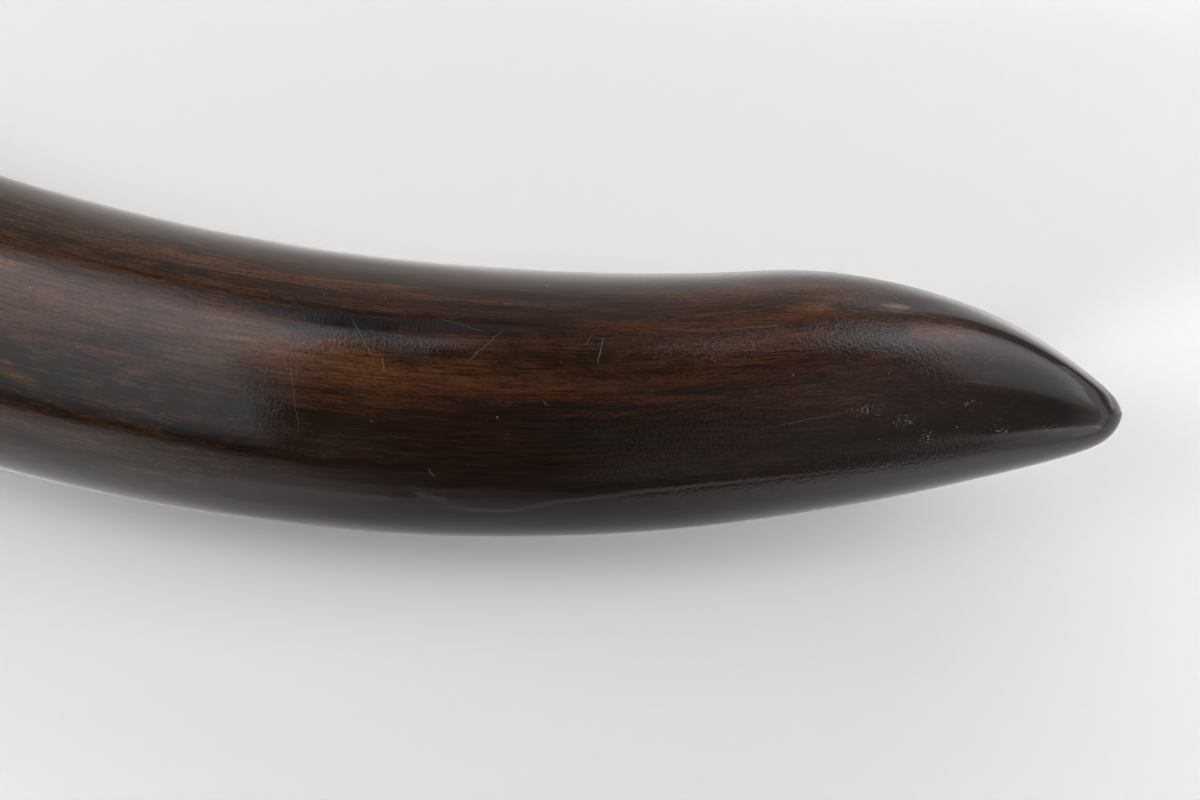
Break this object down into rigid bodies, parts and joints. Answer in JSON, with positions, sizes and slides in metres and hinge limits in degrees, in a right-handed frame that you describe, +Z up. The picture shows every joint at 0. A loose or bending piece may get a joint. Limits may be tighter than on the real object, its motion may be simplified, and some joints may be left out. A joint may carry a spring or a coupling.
{
  "type": "mammoth tusk",
  "caption": "Long curved mammoth tusk lying on its side, dark polished ivory with a worn, slanting tip and a sawn base that opens into a tapering pulp cavity.",
  "frame": {"origin": "bottom centre of the tusk's bounding box, on the surface it lies on", "axes": "+X towards the tip, +Y towards the base end and the hollow side of the curve, +Z up from the surface"},
  "size_m": [0.8918, 0.6844, 0.0942],
  "materials": {
    "ivory": "polished and lacquered dark brown fossil ivory, with lengthwise grain, amber streaks and fine scratches"
  },
  "bodies": {
    "root": {"tusk": "ivory"}
  },
  "joints": []
}
